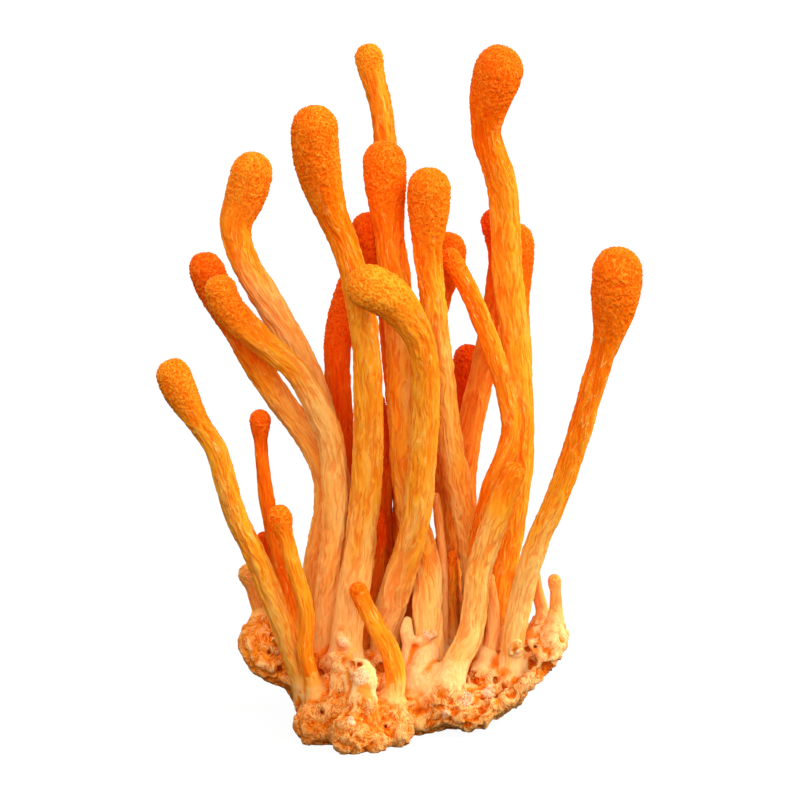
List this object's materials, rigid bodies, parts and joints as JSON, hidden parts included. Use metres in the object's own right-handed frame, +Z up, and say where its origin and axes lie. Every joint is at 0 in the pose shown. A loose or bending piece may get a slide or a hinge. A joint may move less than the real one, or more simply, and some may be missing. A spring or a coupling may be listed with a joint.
{
  "type": "cordyceps bunch",
  "caption": "Bunch of orange club-shaped cordyceps fruiting bodies with grainy heads and wrinkled stems, rising from one lumpy mycelium mat that is cut flat underneath.",
  "frame": {"origin": "on the flat cut under the mat, in the middle of the mat's width, 12 mm behind its front edge", "axes": "+Z up along the clubs, -Y the front that the picture shows, +X to the right seen from the front"},
  "size_m": [0.0608, 0.0347, 0.0866],
  "materials": {
    "flesh_bright": "fresh fungus flesh, bright orange, matt with a faint waxy sheen",
    "flesh_warm": "fresh fungus flesh, warm orange, matt with a faint waxy sheen",
    "flesh_deep": "fresh fungus flesh, deep orange-red, matt",
    "flesh_pale": "fresh fungus flesh, pale orange, matt",
    "mycelium": "dense mycelium, peach to brown-orange, matt and fibrous"
  },
  "bodies": {
    "root": {"mycelium_mat": "mycelium", "club_left_outer": "flesh_bright", "club_small_back_left": "flesh_warm", "club_small_front_left": "flesh_bright", "club_left_front": "flesh_bright", "club_left_middle": "flesh_warm", "club_left_upper": "flesh_bright", "club_left_inner": "flesh_deep", "club_centre_left": "flesh_bright", "club_centre_stub": "flesh_deep", "club_centre_low": "flesh_deep", "club_bent": "flesh_bright", "club_centre_hidden": "flesh_deep", "club_centre": "flesh_bright", "club_tall_back": "flesh_warm", "club_centre_right": "flesh_bright", "club_right_hidden": "flesh_warm", "club_crossing": "flesh_bright", "club_dark_back": "flesh_deep", "club_right_inner": "flesh_warm", "club_tall_right": "flesh_bright", "club_low_back": "flesh_deep", "club_curved_right": "flesh_bright", "club_stub_right": "flesh_pale", "club_right_outer": "flesh_bright", "club_small_front": "flesh_bright", "club_thin_pale": "flesh_pale", "club_thin_right": "flesh_pale", "bud_ragged": "flesh_warm", "bud_left_back": "flesh_pale", "bud_left_tiny": "flesh_deep", "bud_right": "flesh_pale"}
  },
  "joints": []
}
